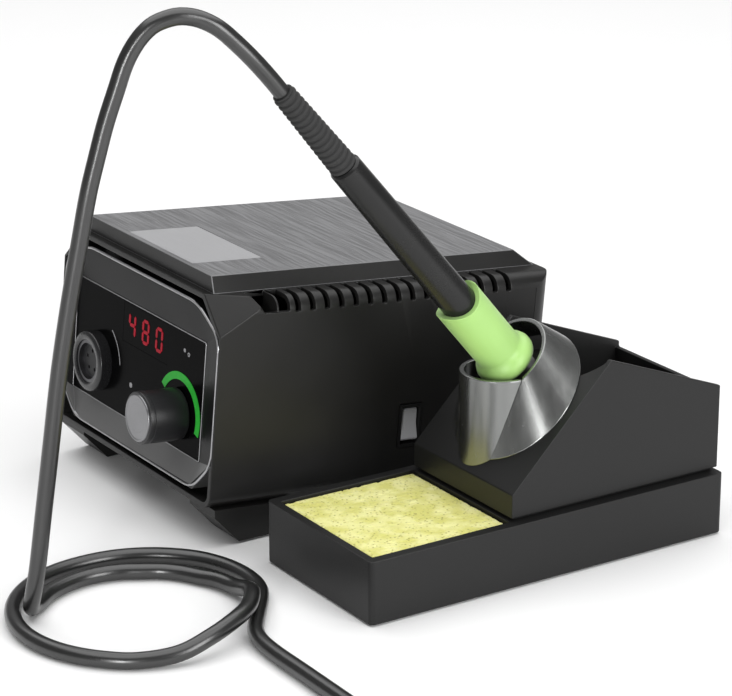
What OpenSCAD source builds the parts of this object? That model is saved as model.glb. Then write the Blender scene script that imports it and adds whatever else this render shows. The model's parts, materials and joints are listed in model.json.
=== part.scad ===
// Soldering iron station: control unit, iron stand with sponge, and iron on its lead.
// +X is the unit's right-hand side, +Y its back, +Z up; the table is z = 0.

/* [Control unit] */
// Width of the case
station_w = 144; // [120:1:180]
// Depth of the case, front rim to rear wall
station_d = 177; // [150:1:220]
// Height of the case up to its shoulders
shoulder_h = 94; // [88:1:115]
// Wall thickness of the case
wall = 2.6; // [2:0.1:3.4]
// Radius of the rounded upper and lower long edges
edge_r = 6.5; // [4:0.5:9]
// Radius of the upright rear corners
rear_r = 10; // [5:1:14]
// How far the front is raised, in degrees
tilt = 5.3; // [3:0.1:6]
// Clear gap between the case and the iron stand
gap = 24; // [10:1:60]
// How far the case stands ahead of the stand
lead = 14.9; // [0:0.1:30]
// Height of the case's lower back edge over the table
rear_lift = 2.15; // [1.6:0.05:4]

/* [Lid] */
// Margin from the case's sides to the foot of the lid
lid_margin = 13.5; // [12:0.5:24]
// Height of the lid over the shoulders
lid_h = 7.5; // [5:0.5:10]
// Width of each sloping side of the lid
lid_bevel = 3; // [1:0.5:6]
// Spacing of the vent slots
vent_pitch = 7.5; // [6:0.1:9]
// Width of a vent slot
vent_w = 2.6; // [2:0.1:4]

/* [Front] */
// Depth of the sloping frame around the front panel
bezel_recess = 4; // [2:0.5:5]
// Width of the frame to the right of the glossy panel
frame_right = 15.9; // [8:0.1:18]
// Width of the frame to the left of the glossy panel
frame_left = 6.5; // [5:0.1:12]
// Height of the frame under the glossy panel
frame_low = 11.7; // [8:0.1:16]
// Height of the frame over the glossy panel
frame_top = 17.6; // [12:0.1:22]
// Knob radius
knob_r = 11.8; // [9:0.1:13]
// Knob length
knob_l = 20.4; // [12:0.2:24]
// Knob centre, from the panel's right edge
knob_in = 20.1; // [19:0.1:24]
// Knob centre, over the case's lower edge
knob_z = 33; // [32:0.5:36]
// Radius of the knob shaft
shaft_r = 3; // [2:0.1:3.5]
// Outer radius of the iron socket's ring
socket_r = 14; // [12:0.2:15]
// Radius of the iron socket's bore
socket_bore_r = 8.5; // [7:0.1:9.5]
// Depth of the iron socket's bore in front of its insert
socket_depth = 2.4; // [2:0.1:4]
// Wall thickness of the iron socket's metal shell
socket_wall = 1.5; // [1:0.1:2]
// Socket centre, from the panel's left edge
socket_in = 22; // [17:0.5:26]
// Socket centre, over the case's lower edge
socket_z = 35.5; // [33:0.5:40]
// Height of a display digit
digit_h = 11.5; // [8:0.5:13]

/* [Stand] */
// Width of the stand's tray
tray_w = 82; // [78:1:110]
// Length of the stand's tray
tray_l = 185; // [180:1:230]
// Height of the stand's tray
tray_h = 29; // [24:1:38]
// Thickness of the stand's walls
stand_wall = 2.4; // [2:0.1:3]
// Width of the tray's rim beside the sponge
rim = 5; // [4:0.5:8]
// Length of the sponge pocket
pocket_l = 68.5; // [55:0.5:70]
// Thickness of the sponge
sponge_t = 18; // [10:1:19]
// Clearance around the sponge
sponge_gap = 0.7; // [0.4:0.1:2]
// Inset of the holder from the tray's sides
holder_inset = 4; // [3:0.5:6]
// Height of the holder's front step over the table
step_z = 41; // [38:0.5:44]
// Height of the holder's peak over the table
peak_z = 91.5; // [88:0.5:96]
// Height of the holder's back over the table
back_z = 68.5; // [60:0.5:75]
// Radius of the funnel's skirt where it meets the ramp
skirt_r = 33; // [28:0.5:34]
// Clearance between the grip's flange and the funnel's upright cup
flange_gap = 1.6; // [1:0.1:2.4]
// Wall thickness of the funnel
funnel_wall = 2.2; // [1.6:0.1:2.6]

/* [Iron] */
// Angle of the stored iron over the table, in degrees
iron_angle = 50; // [45:1:55]
// Radius of the iron's grip
grip_r = 10.6; // [9:0.1:11]
// Length of the iron's grip
grip_l = 43; // [35:1:50]
// Radius of the grip's heat flange
flange_r = 13.4; // [12:0.1:13.6]
// Length of the bare handle tube
handle_l = 87; // [70:1:100]
// Radius of the handle tube at the grip
handle_r = 8.2; // [7:0.1:8.6]
// Radius of the handle tube at the lead
handle_end_r = 6.8; // [6:0.1:7.5]
// Length of the ribbed strain relief
relief_l = 44; // [30:1:50]
// Number of ribs on the strain relief
relief_ribs = 15; // [10:1:18]
// Length of the barrel and tip ahead of the grip
tip_reach = 66; // [50:1:68]
// Radius of the barrel
barrel_r = 3.3; // [2.5:0.1:4]
// Radius of the nut that holds the barrel
nut_r = 6.2; // [5.5:0.1:7]

/* [Lead] */
// Diameter of the iron's lead
cord_d = 7; // [6:0.1:7]

/* [Hidden] */
$fn = 64;
eps = 0.01;
fit = 0.15;                // clearance of a seated part
run = 0.05;                // radial clearance of a turning part
screw_r = 1.5;
arc_fn = 96;

front_lift = rear_lift + station_d * sin(tilt);
total_w = station_w + gap + tray_w;
station_x = -total_w / 2 + station_w / 2;
stand_x = total_w / 2 - tray_w;
knob_face_y = bezel_recess - 0.8 - knob_l;
cap_r = knob_r - 1.2;
overhang = lead - knob_face_y * cos(tilt) - (knob_z - cap_r) * sin(tilt);
stand_y = (overhang - tray_l) / 2;
station_y = stand_y - lead;

// Control unit, in its own tilted frame: y = 0 is the front rim, z = 0 the lower edge.
half_w = station_w / 2;
lid_low_half = half_w - lid_margin;
lid_top_half = lid_low_half - lid_bevel;
front_top = shoulder_h - 5.4;
bezel_half = half_w - 1.5;
bezel_low = 5;
bezel_depth = 8.5;
panel_t = 2;
panel_y = bezel_recess;
panel_back = panel_y + panel_t;
panel_right = bezel_half - frame_right;
panel_left = -bezel_half + frame_left;
panel_low = bezel_low + frame_low;
panel_top = front_top - frame_top;
knob_x = panel_right - knob_in;
socket_x = panel_left + socket_in;
bushing_r = shaft_r + 1.4;
shell_r = socket_bore_r + socket_wall;
shell_y = -1.2;            // the shell's front face
insert_y = shell_y + socket_depth;
insert_r = socket_bore_r - 1;
plate_side = 22;           // margins of the opening in the case's floor
plate_end = 16;
lid_opening_side = 6;      // margins of the opening under the lid
lid_opening_front = 14;
lid_opening_back = 18;
window_w = 41.4;
window_x = (panel_left + panel_right) / 2 + 5.9;
window_low = panel_top - 19.5;
window_top = panel_top - 1;
lid_front = 3.5;
lid_back = station_d - 2.5;
lid_slope = 10.5;
inlay_x0 = -23.7;
inlay_x1 = 34.5;
inlay_y0 = 6.2;
inlay_y1 = 42.1;
vent_y0 = 37.3;
vent_count = floor((station_d - vent_y0 - 24) / vent_pitch) + 1;
vent_top_x = lid_low_half + 0.5;
vent_low = shoulder_h - 7;
rocker_y = station_d - 74.5;
rocker_z = 28.3;
rocker_w = 8.6;
rocker_h = 16;
rocker_x = half_w - 4.4;   // the rocker's pivot
rocker_r = 8;
rocker_tilt = 9;
rocker_frame_w = 12;
rocker_frame_h = 20;
opening_half = half_w - 18; // rear opening
opening_low = 14;
opening_top = shoulder_h - 18;
inlet_x = 46 - half_w;
inlet_z = 42;
inlet_w = 27;
inlet_h = 31;
inlet_deep = 24;
drawer_w = 20;
drawer_h = 8;
drawer_l = 17;
drawer_z = inlet_z - 10;
mount_floor = wall;        // inside floor of the case
trafo_x = half_w - 54;
trafo_y = station_d - 59;
board_back = trafo_y - 28;
board_half = half_w - 20;
screw_x = half_w - 27;
screw_y = 30;
front_pad_x = half_w - 11;
front_pad_y = 28;
rear_foot_x = half_w - 20;
rear_foot_y = station_d - 22;
core_w = 60;
core_h = 50;
core_d = 24;
board_t = 1.6;
post_h = 5;

// Stand, in its own frame: x = 0 is its left side, y = 0 its front.
pad_t = 0.8;
base_t = 2;
mid_x = tray_w / 2;
pocket_y = 4;
pocket_z = tray_h - 1 - sponge_t;
holder_y = pocket_y + pocket_l + 0.8;
holder_back = tray_l - 0.6;
holder_w = tray_w - 2 * holder_inset;
shadow_gap = 1.4;
ramp_run = peak_z - step_z;
peak_y = holder_y + ramp_run;
skirt_v = 39.9;            // places along the ramp
mouth_v = 50.4;
mouth_h = 17;
skirt_hole_r = skirt_r - 9;
dip_v = 92;                // the rounded dip in the ramp's upper edge
dip_r = 41.5;
cup_r = flange_r + flange_gap + funnel_wall;
mouth_r = cup_r + 1.6;
cup_y = holder_y + cup_r + 1.6;
cup_top = step_z + 42;
seat_y = cup_y + 4.8;
seat_z = cup_top + 2.2;

screw_places = [for (x = [9, tray_w - 9], y = [holder_y + 17, tray_l - 9]) [x, y]];

// Iron, along its own axis from the flange's lower face
grip_end = grip_l;
handle_end = grip_l + handle_l;
relief_end = handle_end + relief_l;
nut_l = 12;
tube_in_r = nut_r + 1;
tube_out_r = tube_in_r + 2.2;
tube_l = 34;

// Lead: places on the table and along its run, chosen by hand with the stand's front corner
// at (lay_x, lay_y); the lead moves with that corner
lay_x = 43;
lay_y = -77.52;
cord_r = cord_d / 2;
lie = cord_r + 0.1;
upper_route = [
    [84, -91.4, 217], [84, -98, 225], [83.5, -105, 233], [82, -112, 240.5], [80.5, -119, 247],
    [78, -126, 251], [76, -133, 252.5], [74, -139, 251.5], [72, -144, 249], [70, -149, 243.5],
    [68.5, -153.5, 235.5], [67, -157, 225], [65, -161, 212], [63.5, -164.5, 198.5],
    [62, -168, 184], [60, -171.5, 164], [57.5, -175.5, 140], [55, -180, 110], [53, -184, 78],
    [51, -187.5, 49], [49.5, -190.5, 25], [48.5, -192, 14.2]];
tail_route = [[106, -121, lie], [116, -125, lie], [130, -126.5, lie], [150, -126.5, lie],
    [170, -126.5, lie], [190, -126.5, lie], [214, -126.5, lie]];
end_route = [[256, -150, lie], [257.3, -156.7, lie], [256, -163.5, lie + 0.4], [252, -169.5, lie + 1.6],
    [246, -173.4, lie + 3.6], [239, -174.7, 8.5]];
loop_at = [60, -149];
loop_in = 30.5;
loop_out = 57;
loop_h = 14.2;
spare_at = [228, -168];
spare_in = 30;
spare_out = 46;
plug_at = [239, -174.7, 8.5];
plug_r = socket_bore_r - 0.2;

// ---------- shared helpers ----------
module at_station() {
    translate([station_x, station_y, front_lift]) rotate([-tilt, 0, 0]) children();
}
module at_stand() { translate([stand_x, stand_y, 0]) children(); }
module at_ramp(v, h) {
    translate([mid_x, holder_y, step_z]) rotate([45, 0, 0]) translate([0, v, h]) children();
}
module on_iron(s) {
    at_stand() translate([mid_x, seat_y, seat_z]) rotate([90 - iron_angle, 0, 0])
        translate([0, 0, s]) children();
}
// a flat shape drawn in x, z and given depth from y0 backwards
module deep(y0, depth) {
    translate([0, y0 + depth, 0]) rotate([90, 0, 0]) linear_extrude(depth) children();
}
// a flat shape drawn in y, z and given width from x0 to the right
module wide(x0, width) {
    translate([x0, 0, 0]) rotate([90, 0, 90]) linear_extrude(width) children();
}
module rod_y(x, z, y0, y1, r) {
    translate([x, y1, z]) rotate([90, 0, 0]) cylinder(r = r, h = y1 - y0);
}
module slab(x0, x1, y0, y1, z0, z1) {
    translate([x0, y0, z0]) cube([x1 - x0, y1 - y0, z1 - z0]);
}
// rectangle with round corners, made of true arcs
module soft_rect(x0, x1, z0, z1, r) {
    translate([x0 + r, z0]) square([x1 - x0 - 2 * r, z1 - z0]);
    translate([x0, z0 + r]) square([x1 - x0, z1 - z0 - 2 * r]);
    for (x = [x0 + r, x1 - r], z = [z0 + r, z1 - r]) translate([x, z]) circle(r);
}

// ---------- swept lead ----------
sides = 10;
function unit(v) = v / norm(v);
function heading(p, i, first, last) =
    i == 0 ? unit(first) : i == len(p) - 1 ? unit(last) : unit(p[i + 1] - p[i - 1]);
function ring(p, t, ref) =
    let (u = unit(ref - t * (t * ref)), v = cross(t, u))
    [for (k = [0 : sides - 1]) p + cord_r * (cos(360 * k / sides) * u + sin(360 * k / sides) * v)];
module swept(p, first, last, ref) {
    n = len(p);
    points = [for (i = [0 : n - 1]) each ring(p[i], heading(p, i, first, last), ref)];
    walls = [for (i = [0 : n - 2], k = [0 : sides - 1])
        let (a = i * sides + k, b = i * sides + (k + 1) % sides)
        each [[a, a + sides, b], [b, a + sides, b + sides]]];
    caps = [[for (k = [0 : sides - 1]) k], [for (k = [sides - 1 : -1 : 0]) (n - 1) * sides + k]];
    polyhedron(points, concat(walls, caps));
}

// ---------- case ----------
module case_section(inset) {
    soft_rect(-half_w + inset, half_w - inset, inset, shoulder_h - inset, edge_r - inset);
}
module case_plan(inset) {
    r = rear_r - inset;
    translate([-half_w + inset, -eps]) square([station_w - 2 * inset, station_d - inset - r]);
    translate([-half_w + rear_r, 0]) square([station_w - 2 * rear_r, station_d - inset]);
    for (s = [-1, 1]) translate([s * (half_w - rear_r), station_d - rear_r]) circle(r);
}
module front_outline(d) {
    x = bezel_half - d;
    polygon([
        [-x, 15 + bezel_low], [-x + 15, bezel_low + d], [x - 15, bezel_low + d], [x, 15 + bezel_low],
        [x, front_top - 10.6], [x - 19.5, front_top - d], [-x + 19.5, front_top - d],
        [-x, front_top - 10.6]]);
}
// the front upper corners, cut away on a slope that runs out behind the rim
module corner_cut(s, inset) {
    mirror([s < 0 ? 1 : 0, 0, 0]) translate([half_w - 0.5, 0, front_top - 9.6])
        rotate([0, 0, -30]) rotate([0, 49, 0]) translate([-60, -60, -inset]) cube([120, 120, 60]);
}
// the side face of the shoulder, from the lid's foot outwards
module shoulder_strip(s) {
    translate([s > 0 ? vent_top_x : -half_w - 1, 0, 0]) rotate([90, 0, 90])
        linear_extrude(half_w + 1 - vent_top_x) children();
}
module vent_slots(s) {
    shoulder_strip(s) for (i = [0 : vent_count - 1])
        translate([vent_y0 + i * vent_pitch, vent_low]) square([vent_w, shoulder_h + 1 - vent_low]);
}
module shoulder_notch(s) {
    shoulder_strip(s) polygon([
        [17.5, shoulder_h + 1], [17.5, shoulder_h], [22, vent_low + 0.5], [34.3, vent_low + 0.5],
        [34.3, shoulder_h + 1]]);
}
module notch_rib(s) {
    mirror([s < 0 ? 1 : 0, 0, 0]) intersection() {
        slab(vent_top_x, half_w, 27.9, 29.1, vent_low - 2, shoulder_h);
        deep(0, station_d) case_section(0.3);
    }
}
// a block round the side switch's frame, that much larger all round
module rocker_block(x0, x1, more) {
    y = rocker_frame_w / 2 + more;
    z = rocker_frame_h / 2 + more;
    slab(x0, x1, rocker_y - y, rocker_y + y, rocker_z - z, rocker_z + z);
}
module housing() color([0.13, 0.13, 0.14]) at_station() {
    difference() {
        intersection() {
            deep(0, station_d) case_section(0);
            linear_extrude(shoulder_h + 1) case_plan(0);
        }
        difference() {
            intersection() {
                deep(-1, station_d + 2) case_section(wall);
                translate([0, 0, -1]) linear_extrude(shoulder_h + 3) case_plan(wall);
            }
            for (s = [-1, 1]) corner_cut(s, wall);
        }
        deep(-1, bezel_depth + 1) front_outline(-0.25);
        for (s = [-1, 1]) corner_cut(s, 0);
        for (s = [-1, 1]) vent_slots(s);
        for (s = [-1, 1]) shoulder_notch(s);
        slab(-half_w + plate_side, half_w - plate_side, plate_end, station_d - plate_end, -1, wall + 1);
        slab(-lid_top_half + lid_opening_side, lid_top_half - lid_opening_side, lid_opening_front,
            station_d - lid_opening_back, shoulder_h - wall - 1, shoulder_h + 1);
        deep(station_d - wall - 1, wall + 2)
            soft_rect(-opening_half, opening_half, opening_low, opening_top, 3);
        rocker_block(half_w - wall - 1, half_w + 1, 0.2);
    }
    for (s = [-1, 1]) notch_rib(s);
}
module at_case_screws(z) {
    for (x = [-screw_x, screw_x], y = [screw_y, station_d - screw_y]) translate([x, y, z]) children();
}
module base_plate() color([0.16, 0.16, 0.17]) at_station() difference() {
    union() {
        slab(-half_w + plate_side + fit, half_w - plate_side - fit, plate_end + fit,
            station_d - plate_end - fit, 0, wall);
        slab(-half_w + plate_side - 4, half_w - plate_side + 4, plate_end - 4, station_d - plate_end + 4,
            wall, wall + 2);
        at_case_screws(wall + 2) cylinder(r = 3.5, h = post_h - 2);
    }
    at_case_screws(-1) cylinder(r = screw_r + 0.1, h = 20);
}
// what drops into the opening under the lid, that much smaller all round
module lid_plug(inset, z0, z1) {
    x = lid_top_half - lid_opening_side - inset;
    slab(-x, x, lid_opening_front + inset, station_d - lid_opening_back - inset, z0, z1);
}
module lid() color([0.42, 0.42, 0.44]) at_station() difference() {
    union() {
        intersection() {
            deep(lid_front, lid_back - lid_front) polygon([
                [-lid_low_half, shoulder_h], [lid_low_half, shoulder_h],
                [lid_top_half, shoulder_h + lid_h], [-lid_top_half, shoulder_h + lid_h]]);
            wide(-half_w, station_w) polygon([
                [lid_front, shoulder_h - 1], [lid_back, shoulder_h - 1], [lid_back, shoulder_h],
                [lid_back - lid_slope, shoulder_h + lid_h], [lid_front, shoulder_h + lid_h]]);
        }
        lid_plug(0.3, shoulder_h - 2, shoulder_h + eps);
    }
    lid_plug(3, shoulder_h - 3, shoulder_h + lid_h - wall);
    slab(inlay_x0, inlay_x1, inlay_y0, inlay_y1, shoulder_h + lid_h - 0.8, shoulder_h + lid_h + 1);
}
module lid_inlay() color([0.56, 0.56, 0.58]) at_station()
    slab(inlay_x0 + fit, inlay_x1 - fit, inlay_y0 + fit, inlay_y1 - fit,
        shoulder_h + lid_h - 0.8, shoulder_h + lid_h - 0.2);

// ---------- front ----------
module bezel() color([0.2, 0.2, 0.21]) at_station() difference() {
    deep(0.3, bezel_depth - 0.3) front_outline(0);
    hull() {
        deep(0.29, eps) front_outline(1.6);
        deep(bezel_recess, eps)
            translate([panel_left, panel_low]) square([panel_right - panel_left, panel_top - panel_low]);
    }
    slab(panel_left - 1.6, panel_right + 1.6, panel_y, bezel_depth + 1, panel_low - 1.6, panel_top + 1.6);
}
module front_panel() color([0.03, 0.03, 0.03]) at_station() difference() {
    slab(panel_left - 1.6 + fit, panel_right + 1.6 - fit, panel_y, panel_back,
        panel_low - 1.6 + fit, panel_top + 1.6 - fit);
    rod_y(socket_x, socket_z, panel_y - 1, panel_back + 1, shell_r + 0.2);
    rod_y(knob_x, knob_z, panel_y - 1, panel_back + 1, bushing_r + 0.2);
    slab(window_x - window_w / 2, window_x + window_w / 2, panel_y - 1, panel_back + 1, window_low, window_top);
}
module scale_arc() color([0.1, 0.75, 0.2]) at_station()
    translate([knob_x, panel_y, knob_z]) rotate([90, 0, 0]) rotate([0, 0, -18])
        rotate_extrude(angle = 166, $fn = arc_fn) translate([knob_r + 3.6, 0]) square([3.4, 0.35]);
module display_module() color([0.02, 0.02, 0.02]) at_station()
    slab(window_x - window_w / 2 + fit, window_x + window_w / 2 - fit, panel_y + 0.05, panel_back + 5,
        window_low + fit, window_top - fit);

// seven-segment digits, one slab per lit segment
seg_w = 1.5;
digit_w = digit_h * 0.56;
digit_pitch = digit_h * 1.08;
digit_z = (window_low + window_top) / 2;
module segment(x, z, upright) {
    l = upright ? (digit_h - seg_w) / 2 - 0.5 : digit_w - seg_w - 0.5;
    translate([x, z]) rotate([0, 0, upright ? 90 : 0]) polygon([
        [-l / 2, 0], [-l / 2 + seg_w / 2, seg_w / 2], [l / 2 - seg_w / 2, seg_w / 2],
        [l / 2, 0], [l / 2 - seg_w / 2, -seg_w / 2], [-l / 2 + seg_w / 2, -seg_w / 2]]);
}
module digit(x, z, lit) {
    hx = (digit_w - seg_w) / 2;
    hz = (digit_h - seg_w) / 2;
    translate([x, z]) {
        if (lit[0]) segment(0, hz, false);
        if (lit[1]) segment(hx, hz / 2, true);
        if (lit[2]) segment(hx, -hz / 2, true);
        if (lit[3]) segment(0, -hz, false);
        if (lit[4]) segment(-hx, -hz / 2, true);
        if (lit[5]) segment(-hx, hz / 2, true);
        if (lit[6]) segment(0, 0, false);
    }
}
module display_digits() color([0.9, 0.05, 0.1]) at_station() deep(panel_y - 0.15, 0.2) {
    digit(window_x - digit_pitch, digit_z, [0, 1, 1, 0, 0, 1, 1]);
    digit(window_x, digit_z, [1, 1, 1, 1, 1, 1, 1]);
    digit(window_x + digit_pitch, digit_z, [1, 1, 1, 1, 1, 1, 0]);
}
module display_board() color([0.05, 0.3, 0.12]) at_station() difference() {
    slab(window_x - 27, half_w - 10, panel_back + 5, panel_back + 5 + board_t, 14, panel_top + 4);
    rod_y(knob_x, knob_z, panel_back, 30, bushing_r + 0.6);
    slab(window_x - 28, window_x + 6, panel_back, 30, 12, window_low - 3);
}
module socket_ring() color([0.24, 0.24, 0.25]) at_station() difference() {
    union() {
        rod_y(socket_x, socket_z, -1, panel_y, socket_r);
        translate([socket_x, -1, socket_z]) rotate([90, 0, 0])
            cylinder(r1 = socket_r, r2 = socket_r - 1.4, h = 1.2);
    }
    rod_y(socket_x, socket_z, -4, panel_y + 1, shell_r + run);
}
module socket_shell() color([0.3, 0.3, 0.31]) at_station() difference() {
    union() {
        rod_y(socket_x, socket_z, shell_y, 22, shell_r);
        rod_y(socket_x, socket_z, panel_back, panel_back + 2.5, shell_r + 3);
    }
    rod_y(socket_x, socket_z, shell_y - 1, insert_y, socket_bore_r);
    rod_y(socket_x, socket_z, shell_y, 23, insert_r);
}
module socket_insert() color([0.06, 0.06, 0.06]) at_station() difference() {
    rod_y(socket_x, socket_z, insert_y, 16, insert_r);
    for (a = [0 : 72 : 359])
        rod_y(socket_x + 4.6 * sin(a), socket_z + 4.6 * cos(a), insert_y - 1, 10, 0.9);
}
module potentiometer() color([0.55, 0.55, 0.56]) at_station() difference() {
    union() {
        rod_y(knob_x, knob_z, panel_back + 7, panel_back + 17, 8.5);
        rod_y(knob_x, knob_z, panel_y - 3, panel_back + 7, bushing_r);
    }
    rod_y(knob_x, knob_z, panel_y - 4, panel_back + 13, shaft_r + run);
}
module pot_nut() color([0.75, 0.72, 0.6]) at_station() difference() {
    translate([knob_x, panel_y, knob_z]) rotate([90, 0, 0]) cylinder(r = bushing_r + 2.2, h = 2, $fn = 6);
    rod_y(knob_x, knob_z, panel_y - 3, panel_y + 1, bushing_r);
}
module knob() color([0.1, 0.1, 0.11]) at_station() difference() {
    rod_y(knob_x, knob_z, knob_face_y + 0.6, knob_face_y + knob_l, knob_r);
    rod_y(knob_x, knob_z, knob_face_y + knob_l - 5, knob_face_y + knob_l + 1, bushing_r + 3.6);
    rod_y(knob_x, knob_z, knob_face_y + 4, knob_face_y + knob_l, shaft_r);
    rod_y(knob_x, knob_z, knob_face_y - 1, knob_face_y + 1.4, cap_r);
}
module knob_cap() color([0.72, 0.72, 0.73]) at_station()
    rod_y(knob_x, knob_z, knob_face_y, knob_face_y + 1.4, cap_r);
module knob_shaft() color([0.7, 0.7, 0.7]) at_station()
    rod_y(knob_x, knob_z, knob_face_y + 4, panel_back + 12, shaft_r);

// ---------- side switch ----------
module rocker_frame() color([0.05, 0.05, 0.05]) at_station() difference() {
    union() {
        rocker_block(half_w - 12, half_w + 0.4, 0);
        rocker_block(half_w - 20, half_w - 12, -2);
    }
    slab(half_w - 9, half_w + 1, rocker_y - rocker_w / 2 - 0.4, rocker_y + rocker_w / 2 + 0.4,
        rocker_z - rocker_r - 0.5, rocker_z + rocker_r + 0.5);
}
module rocker() color([0.62, 0.62, 0.63]) at_station()
    translate([rocker_x, rocker_y - rocker_w / 2, rocker_z]) rotate([0, -rocker_tilt, 0])
        intersection() {
            rotate([-90, 0, 0]) cylinder(r = rocker_r, h = rocker_w, $fn = arc_fn);
            deep(0, rocker_w) polygon([
                [-2.5, -6], [-2.5, 6], [-1, rocker_r], [4.4, rocker_r], [3.4, 0], [4.4, -rocker_r],
                [-1, -rocker_r]]);
        }

// ---------- rear ----------
rear_y = station_d - wall;
module rear_panel() color([0.15, 0.15, 0.16]) at_station() difference() {
    union() {
        deep(rear_y - eps, wall + eps)
            soft_rect(-opening_half + fit, opening_half - fit, opening_low + fit, opening_top - fit, 2.8);
        slab(-opening_half - 4, opening_half + 4, rear_y - 2, rear_y, opening_low - 4, opening_top + 4);
    }
    slab(inlet_x - inlet_w / 2, inlet_x + inlet_w / 2, rear_y - 5, station_d + 1,
        inlet_z - inlet_h / 2, inlet_z + inlet_h / 2);
    for (x = [8 : 4.6 : opening_half - 8])
        slab(x, x + 2.4, rear_y - 5, station_d + 1, opening_low + 10, opening_top - 10);
}
module mains_inlet() color([0.04, 0.04, 0.04]) at_station() difference() {
    union() {
        slab(inlet_x - inlet_w / 2 + fit, inlet_x + inlet_w / 2 - fit, station_d - inlet_deep, station_d,
            inlet_z - inlet_h / 2 + fit, inlet_z + inlet_h / 2 - fit);
        slab(inlet_x - inlet_w / 2 - 2, inlet_x + inlet_w / 2 + 2, station_d, station_d + 2,
            inlet_z - inlet_h / 2 - 2, inlet_z + inlet_h / 2 + 2);
    }
    slab(inlet_x - 12, inlet_x + 12, station_d - 16, station_d + 3, inlet_z - 3, inlet_z + 13.2);
    slab(inlet_x - drawer_w / 2 - 0.3, inlet_x + drawer_w / 2 + 0.3, station_d - drawer_l - 0.6,
        station_d + 3, drawer_z - drawer_h / 2 - 0.3, drawer_z + drawer_h / 2 + 0.3);
}
module inlet_pins() color([0.8, 0.8, 0.8]) at_station() for (x = [-7, 0, 7])
    slab(inlet_x + x - 1, inlet_x + x + 1, station_d - 34, station_d - 3,
        inlet_z + (x == 0 ? 7.5 : 3.5), inlet_z + (x == 0 ? 11.5 : 7.5));
module fuse_drawer() color([0.08, 0.08, 0.08]) at_station() difference() {
    slab(inlet_x - drawer_w / 2, inlet_x + drawer_w / 2, station_d - drawer_l, station_d + 2,
        drawer_z - drawer_h / 2, drawer_z + drawer_h / 2);
    slab(inlet_x - drawer_w / 2 + 1.4, inlet_x + drawer_w / 2 - 1.4, station_d - drawer_l + 1.5,
        station_d - 2, drawer_z - 2.8, drawer_z + drawer_h);
}
module fuse() color([0.85, 0.85, 0.8]) at_station()
    translate([inlet_x - 8, station_d - 10, drawer_z]) rotate([0, 90, 0]) cylinder(r = 2.6, h = 16);

// ---------- inside ----------
module transformer_core() color([0.3, 0.3, 0.32]) at_station() difference() {
    slab(trafo_x - core_w / 2, trafo_x + core_w / 2, trafo_y - core_d / 2, trafo_y + core_d / 2,
        mount_floor + 3.5, mount_floor + 3.5 + core_h);
    for (s = [-1, 1]) slab(trafo_x + s * 15 - 5, trafo_x + s * 15 + 5, trafo_y - core_d, trafo_y + core_d,
        mount_floor + 13.5, mount_floor + 43.5);
}
module transformer_coil() color([0.7, 0.4, 0.15]) at_station() difference() {
    slab(trafo_x - 19.5, trafo_x + 19.5, trafo_y - core_d / 2 - 9, trafo_y + core_d / 2 + 9,
        mount_floor + 14, mount_floor + 43);
    slab(trafo_x - 10.2, trafo_x + 10.2, trafo_y - core_d / 2 - 0.2, trafo_y + core_d / 2 + 0.2,
        mount_floor + 10, mount_floor + 50);
}
module transformer_bracket() color([0.7, 0.7, 0.7]) at_station() difference() {
    slab(trafo_x - core_w / 2 - 10, trafo_x + core_w / 2 + 10, trafo_y - 10, trafo_y + 10,
        wall + 2, wall + 3.5);
    for (s = [-1, 1]) translate([trafo_x + s * (core_w / 2 + 6), trafo_y, 0]) cylinder(r = 2, h = 12);
}
module power_board() color([0.06, 0.32, 0.13]) at_station() difference() {
    slab(-board_half, board_half, 24, board_back, wall + post_h, wall + post_h + board_t);
    at_case_screws(0) cylinder(r = screw_r + 0.1, h = 20);
}
module capacitors() color([0.1, 0.15, 0.35]) at_station()
    for (p = [[-34, 46, 8, 25], [-14, 46, 6.5, 20], [2, 44, 5, 16]])
        translate([p[0], p[1], wall + post_h + board_t]) cylinder(r = p[2], h = p[3]);
module heatsink() color([0.6, 0.6, 0.62]) at_station() {
    slab(10, 42, 38, 41, wall + post_h + board_t, 40);
    for (i = [0 : 5]) slab(10 + i * 6, 12 + i * 6, 41 - eps, 53, wall + post_h + board_t, 40);
}
module feet() color([0.12, 0.12, 0.13]) difference() {
    union() {
        for (s = [-1, 1]) translate([station_x, station_y, 0])
            wide(s > 0 ? half_w - 22 : -half_w, 22)
                polygon([[3, front_lift + 3], [3, front_lift - 4], [15, 1.2], [42, 1.2], [42, front_lift + 3]]);
        for (s = [-1, 1]) translate([station_x + s * rear_foot_x, station_y + rear_foot_y, 1])
            cylinder(r = 8, h = 8);
    }
    at_station() slab(-station_w, station_w, -20, station_d + 20, 0, 60);
}
module foot_pads() color([0.05, 0.05, 0.05]) {
    for (s = [-1, 1]) translate([station_x + s * front_pad_x, station_y + front_pad_y, 0])
        cylinder(r = 8, h = 1.2);
    for (s = [-1, 1]) translate([station_x + s * rear_foot_x, station_y + rear_foot_y, 0])
        cylinder(r = 7, h = 1);
}
module case_screws() color([0.5, 0.5, 0.5]) at_station() {
    at_case_screws(-eps) cylinder(r = screw_r, h = 13);
    at_case_screws(-1.3) cylinder(r = 2.8, h = 1.3);
    for (x = [-opening_half + 5, opening_half - 5], z = [opening_low + 5, opening_top - 5])
        rod_y(x, z, station_d, station_d + 1.4, 2.8);
}

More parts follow.
